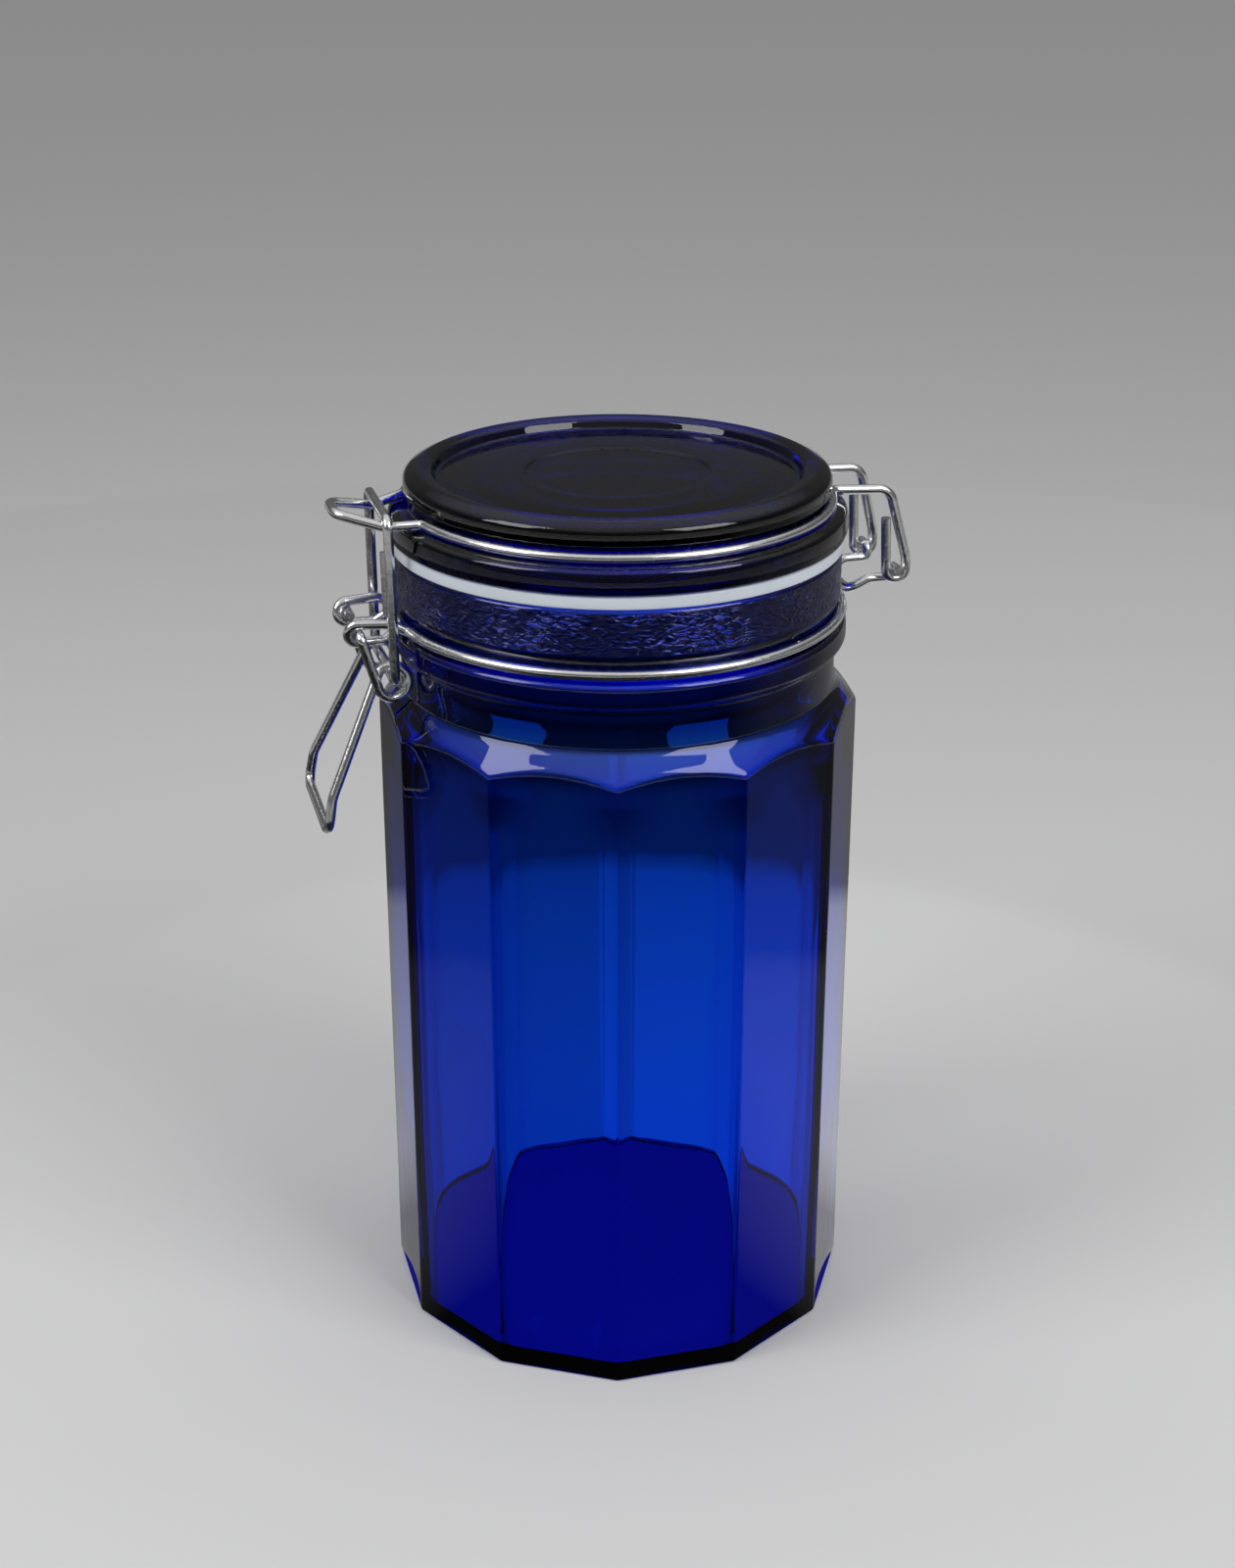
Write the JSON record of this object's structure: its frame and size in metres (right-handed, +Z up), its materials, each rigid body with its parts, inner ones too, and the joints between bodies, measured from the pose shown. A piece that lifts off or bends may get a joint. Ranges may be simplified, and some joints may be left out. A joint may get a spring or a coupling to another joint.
{
  "type": "clip-top glass jar",
  "caption": "Faceted blue glass storage jar with a hinged glass lid, a rubber seal and a wire clamp whose lever pulls a link down over the lid's nose.",
  "frame": {"origin": "on the jar's axis, on the flat underside that it stands on", "axes": "+Z up along the jar's axis; the clamp is on the -X side and the hinge on the +X side; Y is across"},
  "size_m": [0.1299, 0.1014, 0.1947],
  "materials": {
    "blue_glass": "clear cobalt glass",
    "seal_rubber": "satin",
    "steel_wire": "polished"
  },
  "bodies": {
    "jar": {"jar_body": "blue_glass", "neck_band": "steel_wire", "hinge_wire": "steel_wire"},
    "lid": {"lid_glass": "blue_glass", "gasket": "seal_rubber", "lid_wire": "steel_wire"},
    "lever": {"lever_wire": "steel_wire"},
    "link": {"link_wire": "steel_wire"}
  },
  "joints": [
    {"name": "lid_open", "type": "hinge", "parent": "jar", "child": "lid", "pos_m": [0.0594, 0, 0.1697], "axis": [0, 1, 0], "range_deg": [0, 105]},
    {"name": "lever_lift", "type": "hinge", "parent": "jar", "child": "lever", "pos_m": [-0.057, 0, 0.16445], "axis": [0, 1, 0], "range_deg": [0, 105], "deforming": ["link_wire"]},
    {"name": "link_swing", "type": "hinge", "parent": "lever", "child": "link", "pos_m": [-0.0506, 0, 0.15495], "axis": [0, 1, 0], "range_deg": [-131.25, 0]}
  ],
  "couplings": [
    {"joint": "link_swing", "follows": "lever_lift", "ratio": -1.25}
  ]
}
